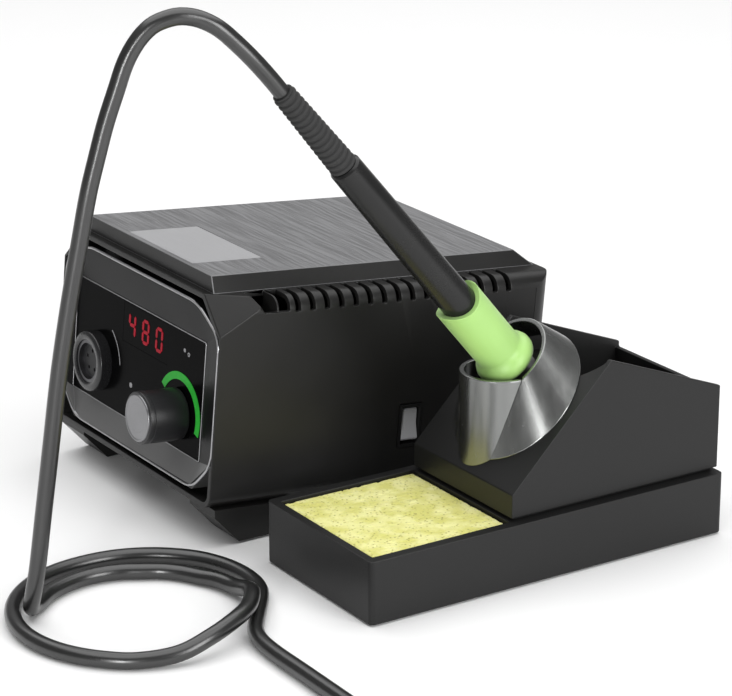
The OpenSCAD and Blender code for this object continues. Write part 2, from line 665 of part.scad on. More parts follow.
// ---------- stand ----------
holder_x0 = holder_inset;
holder_x1 = tray_w - holder_inset;
module tray_blank(z0, z1, inset) {
    translate([0, 0, z0]) linear_extrude(z1 - z0)
        soft_rect(inset, tray_w - inset, inset, tray_l - inset, 2.4);
}
module at_stand_screws(z) { for (p = screw_places) translate([p[0], p[1], z]) children(); }
module stand_tray() color([0.17, 0.17, 0.18]) at_stand() difference() {
    union() {
        difference() {
            tray_blank(pad_t, tray_h, 0);
            difference() {
                tray_blank(pad_t - 1, tray_h - stand_wall, stand_wall);
                slab(0, tray_w, 0, pocket_y + pocket_l + stand_wall, pocket_z - stand_wall, tray_h);
            }
        }
        at_stand_screws(pad_t + base_t) cylinder(r = 3.5, h = tray_h - stand_wall - pad_t - base_t + eps);
    }
    slab(rim, tray_w - rim, pocket_y, pocket_y + pocket_l, pocket_z, tray_h + 1);
    slab(holder_x0 + 9, holder_x1 - 9, holder_y + 26, holder_back - 8, pocket_z, tray_h + 1);
    at_stand_screws(pad_t) cylinder(r = screw_r, h = 15);
}
module stand_base() color([0.12, 0.12, 0.12]) at_stand() difference() {
    tray_blank(pad_t, pad_t + base_t, stand_wall + fit);
    at_stand_screws(0) cylinder(r = screw_r + 0.1, h = 5);
}
module sponge() color([0.93, 0.91, 0.55]) at_stand()
    slab(rim + sponge_gap, tray_w - rim - sponge_gap, pocket_y + sponge_gap,
        pocket_y + pocket_l - sponge_gap, pocket_z, pocket_z + sponge_t);
module holder_side(inset) {
    polygon([
        [holder_y + inset, tray_h + shadow_gap], [holder_y + inset, step_z - inset * 0.42],
        [peak_y + inset * 0.42, peak_z - inset], [holder_back - inset, back_z - inset],
        [holder_back - inset, tray_h + shadow_gap]]);
}
module iron_holder() color([0.17, 0.17, 0.18]) at_stand() difference() {
    union() {
        wide(holder_x0, holder_w) holder_side(0);
        slab(holder_x0 + 2, holder_x1 - 2, holder_y + 2, holder_back - 2, tray_h, tray_h + shadow_gap);
    }
    wide(holder_x0 + stand_wall, holder_w - 2 * stand_wall) polygon([
        [holder_y + stand_wall, tray_h - 1], [holder_y + stand_wall, step_z - 1],
        [peak_y + 1, peak_z + 1 - stand_wall * sqrt(2)], [peak_y + 3, peak_z + 9],
        [holder_back - stand_wall, peak_z + 9], [holder_back - stand_wall, tray_h - 1]]);
    slab(holder_x0 + stand_wall, holder_x1 - stand_wall, holder_back - stand_wall - 1, holder_back + 1,
        back_z - 2.4, peak_z);
    at_ramp(skirt_v, -12) cylinder(r = skirt_hole_r, h = 30);
    intersection() {
        at_ramp(dip_v, -12) cylinder(r = dip_r, h = 30);
        slab(holder_x0 + stand_wall, holder_x1 - stand_wall, holder_y, holder_back, tray_h, peak_z + 20);
    }
}
module cone_body(base_r, base_h, top_r, top_h) {
    hull() {
        at_ramp(skirt_v, base_h) cylinder(r = base_r, h = 0.5, $fn = 48);
        at_ramp(mouth_v, top_h - 0.5) cylinder(r = top_r, h = 0.5, $fn = 48);
    }
}
module funnel() color([0.33, 0.34, 0.34]) at_stand() difference() {
    cone_body(skirt_r, 0, mouth_r, mouth_h);
    cone_body(skirt_r - funnel_wall, -1, mouth_r - funnel_wall, mouth_h + 1);
    front_half() translate([mid_x, cup_y, step_z - 20]) cylinder(r = cup_r + 0.05, h = 120);
}
// the cup is open at the back, where the funnel's cone takes over
module front_half() {
    difference() {
        children();
        slab(0, tray_w, cup_y, tray_l, -10, 200);
    }
}
module funnel_cup() color([0.33, 0.34, 0.34]) at_stand() difference() {
    front_half() translate([mid_x, cup_y, step_z - 6]) cylinder(r = cup_r, h = cup_top - step_z + 6);
    translate([mid_x, cup_y, step_z - 8]) cylinder(r = cup_r - funnel_wall, h = 120);
    at_ramp(skirt_v, -60) translate([-60, -60, 0]) cube([120, 120, 60]);
}
module guide_tube() color([0.5, 0.5, 0.5]) difference() {
    union() {
        on_iron(-tube_l) cylinder(r = tube_out_r, h = tube_l - 0.4);
        at_stand() at_ramp(skirt_v, -stand_wall - 1.6) cylinder(r = skirt_hole_r + 0.9, h = 1.6);
    }
    on_iron(-tube_l - 20) cylinder(r = tube_in_r, h = tube_l + 30);
}
module stand_pads() color([0.04, 0.04, 0.04]) at_stand()
    for (x = [14, tray_w - 14], y = [16, tray_l - 16]) translate([x, y, 0]) cylinder(r = 7, h = pad_t);
module stand_screws() color([0.5, 0.5, 0.5]) at_stand()
    at_stand_screws(pad_t) cylinder(r = screw_r, h = 14);

// ---------- iron ----------
module handle() color([0.11, 0.11, 0.11]) difference() {
    on_iron(4) cylinder(r1 = handle_r, r2 = handle_end_r, h = handle_end - 4);
    on_iron(3) cylinder(r = 5.2, h = handle_end - 6);
}
module grip() color([0.62, 0.87, 0.43]) difference() {
    on_iron(0) rotate_extrude() polygon([
        [3.5, 0], [flange_r - 2, 0], [flange_r - 0.6, 0.6], [flange_r, 2.2], [flange_r, 4.2],
        [flange_r - 0.8, 6.2], [flange_r - 2, 7.6], [grip_r, 9.6], [grip_r, grip_end], [3.5, grip_end]]);
    on_iron(4) cylinder(r1 = handle_r, r2 = handle_end_r, h = handle_end - 4);
    on_iron(grip_end + 13) rotate([0, 90, 0]) cylinder(r = 16.4, h = 60, center = true);
}
rib_pitch = relief_l / relief_ribs;
function relief_r(s) = 5.2 - 1.2 * s / relief_l;
module strain_relief() color([0.09, 0.09, 0.09]) on_iron(handle_end) rotate_extrude() polygon(concat(
    [[0, 0]],
    [for (i = [0 : relief_ribs - 1]) each [
        [relief_r(i * rib_pitch) + 0.9, i * rib_pitch],
        [relief_r(i * rib_pitch) + 0.9, (i + 0.55) * rib_pitch],
        [relief_r(i * rib_pitch), (i + 0.6) * rib_pitch],
        [relief_r(i * rib_pitch), (i + 0.95) * rib_pitch]]],
    [[relief_r(relief_l) + 0.5, relief_l - 0.2], [relief_r(relief_l) + 0.5, relief_l], [0, relief_l]]));
module tip_nut() color([0.7, 0.7, 0.7]) difference() {
    on_iron(-nut_l) cylinder(r = nut_r, h = nut_l - 0.1);
    on_iron(-nut_l - 1) cylinder(r = barrel_r, h = nut_l + 2);
}
module barrel() color([0.75, 0.74, 0.72]) difference() {
    on_iron(-tip_reach + 18) cylinder(r = barrel_r, h = tip_reach - 18 + 30);
    on_iron(-tip_reach + 17) cylinder(r = barrel_r - 0.7, h = tip_reach + 20);
}
module tip() color([0.6, 0.45, 0.3]) difference() {
    on_iron(-tip_reach) rotate_extrude() polygon([
        [0, 0], [0.6, 0], [2.4, 12], [barrel_r, 14], [barrel_r, 18], [barrel_r - 0.7, 18],
        [barrel_r - 0.7, 30], [0, 30]]);
    on_iron(-tip_reach + 16) cylinder(r = 1.6, h = 16);
}
module heater() color([0.9, 0.88, 0.85])
    on_iron(-tip_reach + 16.5) cylinder(r = 1.5, h = tip_reach + 16);
module handle_board() color([0.06, 0.32, 0.13])
    on_iron(50) translate([-4, -0.8, 0]) cube([8, 1.6, 60]);

// ---------- lead and plug ----------
module laid() { translate([stand_x - lay_x, stand_y - lay_y, 0]) children(); }
module cord_upper() color([0.1, 0.1, 0.1]) laid()
    swept(upper_route, [0, -cos(iron_angle), sin(iron_angle)], [0, 0, -1], [1, 0, 0]);
module cord_loop() color([0.1, 0.1, 0.1]) laid() translate(loop_at)
    rotate_extrude($fn = arc_fn) translate([loop_in, 0]) square([loop_out - loop_in, loop_h]);
module cord_tail() color([0.1, 0.1, 0.1]) laid() swept(tail_route, [10, -4, 0], [1, 0, 0], [0, 0, 1]);
module cord_spare() color([0.1, 0.1, 0.1]) laid() translate(spare_at)
    rotate_extrude($fn = arc_fn) translate([spare_in, 0]) square([spare_out - spare_in, cord_d + 0.2]);
module cord_end() color([0.1, 0.1, 0.1]) laid() swept(end_route, [0.2, -1, 0], [-1, 0, 0], [0, 0, 1]);
module on_plug(s) { laid() translate(plug_at) rotate([0, -90, 0]) translate([0, 0, s]) children(); }
module plug_relief() color([0.08, 0.08, 0.08]) on_plug(0) cylinder(r1 = 4.4, r2 = 6, h = 12);
module plug_shell() color([0.35, 0.35, 0.36]) difference() {
    union() {
        on_plug(12) cylinder(r = 6.8, h = 11);
        on_plug(23) cylinder(r = 6, h = 11);
    }
    on_plug(25) cylinder(r = 5, h = 10);
}
module plug_ring() color([0.5, 0.5, 0.52]) difference() {
    on_plug(23.3) cylinder(r = plug_r, h = 9);
    on_plug(22) cylinder(r = 6 + run, h = 12);
}
module plug_insert() color([0.05, 0.05, 0.05]) {
    on_plug(25) cylinder(r = 5, h = 3);
    for (a = [0 : 72 : 359]) on_plug(28 - eps) translate([3 * cos(a), 3 * sin(a), 0]) cylinder(r = 0.6, h = 5);
}

housing();
base_plate();
lid();
lid_inlay();
bezel();
front_panel();
scale_arc();
display_module();
display_digits();
display_board();
socket_ring();
socket_shell();
socket_insert();
potentiometer();
pot_nut();
rocker_frame();
rear_panel();
mains_inlet();
inlet_pins();
fuse();
transformer_core();
transformer_coil();
transformer_bracket();
power_board();
capacitors();
heatsink();
feet();
foot_pads();
case_screws();
knob();
knob_cap();
knob_shaft();
rocker();
fuse_drawer();
stand_tray();
stand_base();
sponge();
iron_holder();
funnel();
funnel_cup();
guide_tube();
stand_pads();
stand_screws();
handle();
grip();
strain_relief();
tip_nut();
barrel();
tip();
heater();
handle_board();
cord_upper();
cord_loop();
cord_tail();
cord_spare();
cord_end();
plug_relief();
plug_shell();
plug_ring();
plug_insert();
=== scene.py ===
"""A soldering iron station: control unit, iron stand with its sponge, and the iron on its lead."""
import json
import math

import bmesh
import bpy
from mathutils import Matrix, Vector, noise


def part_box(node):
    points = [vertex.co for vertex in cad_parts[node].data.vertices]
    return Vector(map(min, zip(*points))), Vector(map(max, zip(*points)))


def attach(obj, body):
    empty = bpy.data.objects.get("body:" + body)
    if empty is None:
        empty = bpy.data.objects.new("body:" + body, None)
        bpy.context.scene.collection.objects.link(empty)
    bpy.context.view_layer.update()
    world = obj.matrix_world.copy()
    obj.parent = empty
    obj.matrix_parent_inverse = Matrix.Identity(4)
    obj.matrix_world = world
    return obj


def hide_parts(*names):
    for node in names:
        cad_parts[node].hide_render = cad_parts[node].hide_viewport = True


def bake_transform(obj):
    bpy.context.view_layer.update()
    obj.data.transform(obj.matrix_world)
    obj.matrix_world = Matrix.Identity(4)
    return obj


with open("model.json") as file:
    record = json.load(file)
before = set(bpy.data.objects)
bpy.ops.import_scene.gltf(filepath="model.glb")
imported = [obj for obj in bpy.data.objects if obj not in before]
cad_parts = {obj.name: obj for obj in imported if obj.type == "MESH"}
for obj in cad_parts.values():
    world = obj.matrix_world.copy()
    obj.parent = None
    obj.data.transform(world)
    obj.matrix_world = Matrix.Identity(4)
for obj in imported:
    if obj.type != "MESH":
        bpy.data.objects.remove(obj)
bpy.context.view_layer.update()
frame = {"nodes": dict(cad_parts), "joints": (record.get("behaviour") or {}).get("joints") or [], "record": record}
MM = 0.001

# ---------------------------------------------------------------- camera
AIM = Vector((0.0926, -0.0589, 0.1086))
CAMERA_AZIMUTH = math.radians(57)
CAMERA_ELEVATION = math.radians(19)
CAMERA_DISTANCE = 1.175
LENS_MM = 141.2


def look_from(azimuth, elevation, distance):
    """The point at that distance from the aim; azimuth 0 looks along +Y."""
    level = math.cos(elevation)
    way = Vector((math.sin(azimuth) * level, -math.cos(azimuth) * level, math.sin(elevation)))
    return AIM + way * distance


def aim_at(obj, place, target):
    obj.location = place
    obj.rotation_euler = (target - place).to_track_quat("-Z", "Y").to_euler()
    bpy.context.scene.collection.objects.link(obj)


def make_camera():
    camera = bpy.data.objects.new("camera", bpy.data.cameras.new("camera"))
    camera.data.lens = LENS_MM
    camera.data.clip_end = 20
    aim_at(camera, look_from(CAMERA_AZIMUTH, CAMERA_ELEVATION, CAMERA_DISTANCE), AIM)
    bpy.context.scene.camera = camera


make_camera()


# ---------------------------------------------------------------- shading
class Term:
    """A shader socket that takes part in sums as a number does."""

    def __init__(self, finish, socket):
        self.finish = finish
        self.socket = socket

    def maths(self, operation, first, second):
        return self.finish.node("ShaderNodeMath", {"operation": operation}, {0: first, 1: second})

    def __add__(self, other):
        return self.maths("ADD", self, other)

    def __radd__(self, other):
        return self.maths("ADD", other, self)

    def __sub__(self, other):
        return self.maths("SUBTRACT", self, other)

    def __rsub__(self, other):
        return self.maths("SUBTRACT", other, self)

    def __mul__(self, other):
        return self.maths("MULTIPLY", self, other)

    def __rmul__(self, other):
        return self.maths("MULTIPLY", other, self)

    def __pow__(self, other):
        return self.maths("POWER", self, other)


class Finish:
    """One material: a Principled shader and the nodes that vary it over the surface."""

    def __init__(self, name, constants):
        self.material = bpy.data.materials.new(name)
        self.material.use_nodes = True
        self.tree = self.material.node_tree
        self.tree.nodes.clear()
        self.shader = self.make("ShaderNodeBsdfPrincipled", {}, constants)
        self.make("ShaderNodeOutputMaterial", {}, {"Surface": Term(self, self.shader.outputs[0])})

    def make(self, kind, settings, inputs):
        made = self.tree.nodes.new(kind)
        for key, value in settings.items():
            if key == "stops":
                self.set_stops(made.color_ramp, value)
            else:
                setattr(made, key, value)
        for key, value in inputs.items():
            self.feed(made.inputs[key], value)
        return made

    def set_stops(self, ramp, stops):
        while len(ramp.elements) < len(stops):
            ramp.elements.new(0.5)
        for element, (position, colour) in zip(ramp.elements, stops):
            element.position = position
            element.color = (*colour, 1)

    def feed(self, socket, value):
        if isinstance(value, Term):
            self.tree.links.new(value.socket, socket)
        elif isinstance(value, tuple) and len(value) == 3 and socket.type == "RGBA":
            socket.default_value = (*value, 1)
        else:
            socket.default_value = value

    def node(self, kind, settings, inputs, out=0):
        return Term(self, self.make(kind, settings, inputs).outputs[out])

    def drive(self, socket, value):
        self.feed(self.shader.inputs[socket], value)

    def place(self):
        return self.node("ShaderNodeTexCoord", {}, {}, "Object")

    def stretched(self, scale):
        return self.node("ShaderNodeMapping", {}, {"Vector": self.place(), "Scale": scale})

    def speckle(self, scale, detail=3.0, where=None):
        inputs = {"Vector": where or self.place(), "Scale": scale, "Detail": detail}
        return self.node("ShaderNodeTexNoise", {}, inputs)

    def cells(self, scale):
        return self.node("ShaderNodeTexVoronoi", {}, {"Vector": self.place(), "Scale": scale})

    def between(self, low, high, value):
        """0 below low, 1 above high, and a smooth rise between them."""
        settings = {"interpolation_type": "SMOOTHSTEP"}
        return self.node("ShaderNodeMapRange", settings, {"Value": value, "From Min": low, "From Max": high})

    def mix(self, mask, first, second):
        return self.node("ShaderNodeMix", {"data_type": "RGBA"}, {0: mask, 6: first, 7: second}, 2)

    def bump(self, height, distance, strength=1.0):
        inputs = {"Height": height, "Distance": distance, "Strength": strength}
        self.drive("Normal", self.node("ShaderNodeBump", {}, inputs))


def shade(colour, factor):
    return tuple(channel * factor for channel in colour)


def moulded(name, colour, roughness, specular=0.5, grain_scale=2200, spread=0.12):
    """Moulded plastic: a fine even grain, faint cloudy tone and slightly uneven gloss."""
    finish = Finish(name, {"Specular IOR Level": specular})
    cloud = finish.speckle(28, 4)
    fine = finish.speckle(grain_scale, 2)
    finish.drive("Base Color", finish.mix(cloud, shade(colour, 1 - spread), shade(colour, 1 + spread)))
    finish.drive("Roughness", roughness + (cloud - 0.5) * 0.16 + (fine - 0.5) * 0.1)
    finish.bump(fine, 0.00004)
    return finish.material


def brushed(name, colour, roughness, along, depth=0.00003):
    """Drawn or turned metal: fine marks that are long in the directions where along is small."""
    finish = Finish(name, {})
    marks = finish.speckle(1.0, 3, finish.stretched(along))
    blotch = finish.speckle(45, 3)
    finish.drive("Metallic", 0.92 + blotch * 0.08)
    finish.drive("Base Color", finish.mix(marks, shade(colour, 0.88), shade(colour, 1.12)))
    finish.drive("Roughness", roughness + (marks - 0.5) * 0.1 + (blotch - 0.5) * 0.08)
    finish.bump(marks, depth)
    return finish.material


def striated(name, colour):
    """The lid's skin: fine wavy striations that run across it from side to side."""
    finish = Finish(name, {"Specular IOR Level": 0.5})
    split = finish.make("ShaderNodeSeparateXYZ", {}, {"Vector": finish.place()})
    across = Term(finish, split.outputs["X"])
    back = Term(finish, split.outputs["Y"])
    sway = (finish.speckle(26, 2) - 0.5) * 0.006
    ridged = finish.node("ShaderNodeCombineXYZ", {}, {"X": across * 24, "Y": (back + sway) * 620})
    lines = finish.speckle(1.0, 4, ridged)
    ridge = finish.between(0.36, 0.64, lines)
    cloud = finish.speckle(18, 2)
    finish.drive("Base Color", finish.mix(ridge, shade(colour, 0.72), shade(colour, 1.2)))
    finish.drive("Roughness", 0.38 + cloud * 0.1 + ridge * 0.08)
    finish.bump(ridge, 0.00022, 0.8)
    return finish.material


def satin_plate(name, colour):
    """A thin anodised plate with an even satin grain."""
    finish = Finish(name, {})
    grain = finish.speckle(1.0, 3, finish.stretched((60, 900, 60)))
    cloud = finish.speckle(30, 3)
    finish.drive("Base Color", finish.mix(grain, shade(colour, 0.93), shade(colour, 1.07)))
    finish.drive("Metallic", 0.35 + cloud * 0.1)
    finish.drive("Roughness", 0.42 + grain * 0.08)
    finish.bump(grain, 0.00001)
    return finish.material


def sponge_skin(name):
    """Cellulose sponge: pale yellow, mottled, with small pores darkened by painted shade."""
    finish = Finish(name, {"Subsurface Weight": 0.12, "Subsurface Radius": (0.004, 0.003, 0.001)})
    cloud = finish.between(0.35, 0.65, finish.speckle(120, 5))
    # painted shade: the pores are darkened in the colour where shade falls in them; the same mask also sinks them
    # in the bump
    pores = finish.between(0.0, 0.34, finish.cells(520))
    pale = finish.mix(cloud, (0.64, 0.62, 0.18), (0.78, 0.76, 0.33))
    finish.drive("Base Color", finish.mix(pores, (0.36, 0.33, 0.09), pale))
    finish.drive("Roughness", 0.86 + cloud * 0.1)
    finish.bump(pores * 0.6 + finish.speckle(900, 4) * 0.5, 0.0006)
    return finish.material


def soft_rubber(name, colour, roughness=0.5):
    """Soft-touch rubber: nearly matte, with a faint powdery bloom."""
    finish = Finish(name, {"Sheen Weight": 0.15, "Sheen Roughness": 0.5})
    bloom = finish.speckle(60, 5)
    fine = finish.speckle(1600, 2)
    finish.drive("Base Color", finish.mix(bloom, shade(colour, 0.92), shade(colour, 1.08)))
    finish.drive("Roughness", roughness + (bloom - 0.5) * 0.2)
    finish.bump(fine, 0.00003)
    return finish.material


def cord_sheath(name):
    """The lead's smooth dark sheath, with a soft gloss."""
    finish = Finish(name, {"Specular IOR Level": 0.9})
    cloud = finish.speckle(70, 4)
    fine = finish.speckle(1400, 2)
    finish.drive("Base Color", finish.mix(cloud, (0.006, 0.006, 0.006), (0.010, 0.010, 0.010)))
    finish.drive("Roughness", 0.25 + cloud * 0.08)
    finish.bump(fine, 0.00002)
    return finish.material


def gloss_panel(name):
    """The front panel: near-black and polished, with the lightest haze."""
    finish = Finish(name, {"Specular IOR Level": 0.015})
    haze = finish.speckle(40, 4)
    finish.drive("Base Color", finish.mix(haze, (0.001, 0.001, 0.001), (0.003, 0.003, 0.0032)))
    finish.drive("Roughness", 0.16 + haze * 0.08)
    finish.bump(finish.speckle(500, 2), 0.000004)
    return finish.material


def glowing(name, colour, strength):
    """A glowing surface, slightly uneven: the display's lit digits, and prints whose glow is painted light."""
    finish = Finish(name, {"Emission Strength": strength, "Specular IOR Level": 0.1})
    uneven = finish.speckle(420, 3)
    finish.drive("Base Color", finish.mix(uneven, shade(colour, 0.6), colour))
    finish.drive("Emission Color", finish.mix(uneven, shade(colour, 0.65), shade(colour, 1.1)))
    finish.drive("Roughness", 0.4 + uneven * 0.1)
    return finish.material


def spun(name, centre, axis):
    """Spun aluminium: fine rings round an axis."""
    finish = Finish(name, {})
    offset = finish.node("ShaderNodeVectorMath", {"operation": "SUBTRACT"}, {0: finish.place(), 1: centre})
    rise = finish.node("ShaderNodeVectorMath", {"operation": "DOT_PRODUCT"}, {0: offset, 1: axis}, "Value")
    reach = finish.node("ShaderNodeVectorMath", {"operation": "LENGTH"}, {0: offset}, "Value")
    radius = (reach * reach - rise * rise) ** 0.5
    inputs = {"W": radius, "Scale": 5200, "Detail": 3}
    rings = finish.node("ShaderNodeTexNoise", {"noise_dimensions": "1D"}, inputs)
    blotch = finish.speckle(90, 3)
    finish.drive("Metallic", 0.94 + blotch * 0.06)
    finish.drive("Base Color", finish.mix(rings, (0.15, 0.15, 0.155), (0.32, 0.32, 0.33)))
    finish.drive("Roughness", 0.24 + rings * 0.12)
    finish.bump(rings, 0.00004)
    return finish.material


def plain_floor():
    finish = Finish("floor_paper", {"Specular IOR Level": 0.2})
    cloud = finish.speckle(3, 3)
    finish.drive("Base Color", finish.mix(cloud, (0.86, 0.86, 0.86), (0.88, 0.88, 0.88)))
    finish.drive("Roughness", 0.85 + cloud * 0.1)
    return finish.material


# ---------------------------------------------------------------- places
# middles of the knob and socket on the front, and the iron's seat in the stand, in millimetres
KNOB_X, KNOB_Z = 34.5, 33
SOCKET_X, SOCKET_Z = -42, 35.5
SEAT = (41, 96.9, 85.2)
joints = {joint["name"]: joint for joint in frame["joints"]}
backward = Vector(joints["fuse_drawer_pull"]["axis"])
unit_axes = Matrix((Vector((1, 0, 0)), backward, Vector((1, 0, 0)).cross(backward))).transposed()
knob_centre = Vector(joints["knob_turn"]["pos_m"])
unit_origin = knob_centre - unit_axes @ Vector((KNOB_X * MM, 0, KNOB_Z * MM))
unit_frame = Matrix.Translation(unit_origin) @ unit_axes.to_4x4()

stand_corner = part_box("stand_tray")[0]
stand_corner.z = 0
iron_axis = Vector(joints["iron_lift"]["axis"])
seat = stand_corner + Vector(SEAT) * MM


def along(origin, axis, side=Vector((1, 0, 0))):
    """The frame at origin whose z runs along axis and whose x is as near side as it can be."""
    z = axis.normalized()
    x = (side - z * side.dot(z)).normalized()
    return Matrix.Translation(origin) @ Matrix((x, z.cross(x), z)).transposed().to_4x4()


iron_frame = along(seat, iron_axis)


# ---------------------------------------------------------------- mesh helpers
def add_mesh(name, vertices, faces, material, smooth_angle=40):
    mesh = bpy.data.meshes.new(name)
    mesh.from_pydata([tuple(v) for v in vertices], [], faces)
    mesh.validate()
    mesh.materials.append(material)
    obj = bpy.data.objects.new(name, mesh)
    bpy.context.scene.collection.objects.link(obj)
    round_off(mesh, smooth_angle)
    return obj


def round_off(mesh, smooth_angle):
    """Smooth shading, with the edges sharper than the angle kept crisp."""
    made = bmesh.new()
    made.from_mesh(mesh)
    bmesh.ops.recalc_face_normals(made, faces=made.faces)
    for face in made.faces:
        face.smooth = True
    for edge in made.edges:
        edge.smooth = len(edge.link_faces) == 2 and edge.calc_face_angle(0) < math.radians(smooth_angle)
    made.to_mesh(mesh)
    made.free()


def apply_modifiers(obj):
    bpy.context.view_layer.update()
    graph = bpy.context.evaluated_depsgraph_get()
    mesh = bpy.data.meshes.new_from_object(obj.evaluated_get(graph))
    obj.modifiers.clear()
    obj.data = mesh
    return obj


def soften(obj, width, angle=32, segments=2, edge_slot=-1):
    """Rounds the edges that are sharper than the angle, and may give them their own material, which here paints a
    highlight on them.
    """
    bevel = obj.modifiers.new("edges", "BEVEL")
    bevel.material = edge_slot
    bevel.width = width
    bevel.segments = segments
    bevel.limit_method = "ANGLE"
    bevel.angle_limit = math.radians(angle)
    bevel.harden_normals = False
    bevel.use_clamp_overlap = False
    bevel.miter_outer = "MITER_ARC"
    apply_modifiers(obj)
    return obj


def turned(name, profile, place, material, sides=96, smooth_angle=40):
    """A turned shape: the profile's (radius, height) points in millimetres, spun about the place's z."""
    points = []
    faces = []
    for radius, height in profile:
        for side in range(sides):
            turn = 2 * math.pi * side / sides
            spot = Vector((radius * math.cos(turn), radius * math.sin(turn), height)) * MM
            points.append(place @ spot)
    for level in range(len(profile) - 1):
        for side in range(sides):
            here = level * sides + side
            after = level * sides + (side + 1) % sides
            faces.append((here, after, after + sides, here + sides))
    if profile[0] != profile[-1]:
        faces.append(tuple(reversed(range(sides))))
        faces.append(tuple(range((len(profile) - 1) * sides, len(profile) * sides)))
    else:
        faces = [tuple(v % ((len(profile) - 1) * sides) for v in face) for face in faces]
        points = points[: (len(profile) - 1) * sides]
    return add_mesh(name, points, faces, material, smooth_angle)


def arc(centre, radius, start, end, steps=6):
    """Points of a round in a profile, from one angle to the other, in degrees."""
    turns = [math.radians(start + (end - start) * step / steps) for step in range(steps + 1)]
    return [(centre[0] + radius * math.cos(turn), centre[1] + radius * math.sin(turn)) for turn in turns]


def stands_for(piece, *nodes):
    """The piece rides as the first of these CAD nodes does, and the nodes are hidden."""
    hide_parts(*nodes)
    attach(piece, body_holding(nodes[0]))
    return piece


def body_holding(node):
    bodies = frame["record"]["behaviour"]["bodies"]
    return next(body for body, nodes in bodies.items() if node in nodes)


def rounded_copy(node, width, material, angle=32, segments=2, smooth_angle=36, edge_highlight=None):
    """A detailed stand-in for a CAD node: the same shape with its edges rounded."""
    piece = frame["nodes"][node].copy()
    piece.data = piece.data.copy()
    piece.parent = None
    for key in list(piece.keys()):
        del piece[key]
    piece.name = node + "_shell"
    bpy.context.scene.collection.objects.link(piece)
    made = bmesh.new()
    made.from_mesh(piece.data)
    bmesh.ops.remove_doubles(made, verts=made.verts, dist=1e-6)
    flat = math.radians(1)
    bmesh.ops.dissolve_limit(made, angle_limit=flat, verts=made.verts, edges=made.edges)
    made.to_mesh(piece.data)
    made.free()
    piece.data.materials.clear()
    piece.data.materials.append(material)
    # the second material paints a highlight on the rounded edges
    if edge_highlight:
        piece.data.materials.append(edge_highlight)
    for face in piece.data.polygons:
        face.material_index = 0
    soften(piece, width, angle, segments, 1 if edge_highlight else -1)
    round_off(piece.data, smooth_angle)
    even_shading(piece)
    return stands_for(piece, node)


def even_shading(piece):
    """Lets the large faces rule the shading, so that a rounded edge doesn't dull them."""
    weighted = piece.modifiers.new("even_shading", "WEIGHTED_NORMAL")
    weighted.keep_sharp = True
    apply_modifiers(piece)


def dress(material, *nodes):
    """Gives CAD nodes whose shape is right their material."""
    for node in nodes:
        mesh = frame["nodes"][node].data
        mesh.materials.clear()
        mesh.materials.append(material)
        for face in mesh.polygons:
            face.material_index = 0


# ---------------------------------------------------------------- lead
CORD_RADIUS = 3.5 * MM
LIE = 3.6
LOOP_CENTRE = (60, -149)
SPARE_CENTRE = (228, -168)
falling_route = [
    (84, -91.4, 217), (84, -98, 225), (83.5, -105, 233), (82, -112, 240.5), (80.5, -119, 247),
    (78, -126, 251), (76, -133, 252.5), (74, -139, 251.5), (72, -144, 249), (70, -149, 243.5),
    (68.5, -153.5, 235.5), (67, -157, 225), (65, -161, 212), (63.5, -164.5, 198.5),
    (62, -168, 184), (60, -171.5, 164), (57.5, -175.5, 140), (55, -180, 110), (53, -184, 78),
    (51, -187.5, 49), (49.5, -190.5, 25)]
landing_route = [(48, -191.8, 15), (44.5, -191.3, 8), (40, -188.6, 4.6)]
# the loop's turns as (angle, radius, height) at its tight and wide places, clockwise
loop_shape = [
    (236, 42.5, LIE), (205, 39, LIE), (151, 35, LIE), (110, 37, LIE), (80, 42, 4.6), (64, 45, 8.4),
    (52, 46.6, 10.7), (20, 50.5, 10.7), (4, 52.3, 8.6), (-12, 53.6, 5), (-30, 54, LIE),
    (-106, 52.8, LIE), (-180, 51.5, LIE), (-240, 53, LIE), (-275, 52, LIE), (-304, 49.5, LIE)]
tail_route = [
    (106, -121, LIE), (116, -125, LIE), (130, -126.5, LIE), (150, -126.5, LIE), (170, -126.5, LIE),
    (190, -126.5, LIE), (214, -126.5, LIE)]
spare_shape = [(84, 41.5, LIE), (-327, 33.4, LIE)]
end_route = [
    (257.3, -156.7, LIE), (256, -163.5, LIE + 0.4), (252, -169.5, LIE + 1.6), (246, -173.4, LIE + 3.6),
    (239, -174.7, 8.5)]


def wound(centre, shape, step=15):
    """Points of the turns round a centre, through the (angle, radius, height) places."""
    points = []
    for (angle, radius, height), (next_angle, next_radius, next_height) in zip(shape, shape[1:]):
        count = max(1, round(abs(next_angle - angle) / step))
        for index in range(count):
            share = index / count
            turn = math.radians(angle + (next_angle - angle) * share)
            reach = radius + (next_radius - radius) * share
            rise = height + (next_height - height) * share
            points.append((centre[0] + reach * math.cos(turn), centre[1] + reach * math.sin(turn), rise))
    return points


def flowing(points, spacing):
    """A smooth line through the points, with a point about every spacing."""
    padded = [points[0] * 2 - points[1], *points, points[-1] * 2 - points[-2]]
    line = []
    for before, start, end, after in zip(padded, padded[1:], padded[2:], padded[3:]):
        count = max(2, math.ceil((end - start).length / spacing))
        gap = (end - start).length
        leave = (end - before) * (gap / max((end - start).length + (start - before).length, 1e-9))
        arrive = (after - start) * (gap / max((after - end).length + (end - start).length, 1e-9))
        for index in range(count):
            t = index / count
            line.append(
                start * (2 * t**3 - 3 * t**2 + 1) + leave * (t**3 - 2 * t**2 + t)
                + end * (3 * t**2 - 2 * t**3) + arrive * (t**3 - t**2))
    line.append(points[-1])
    return line


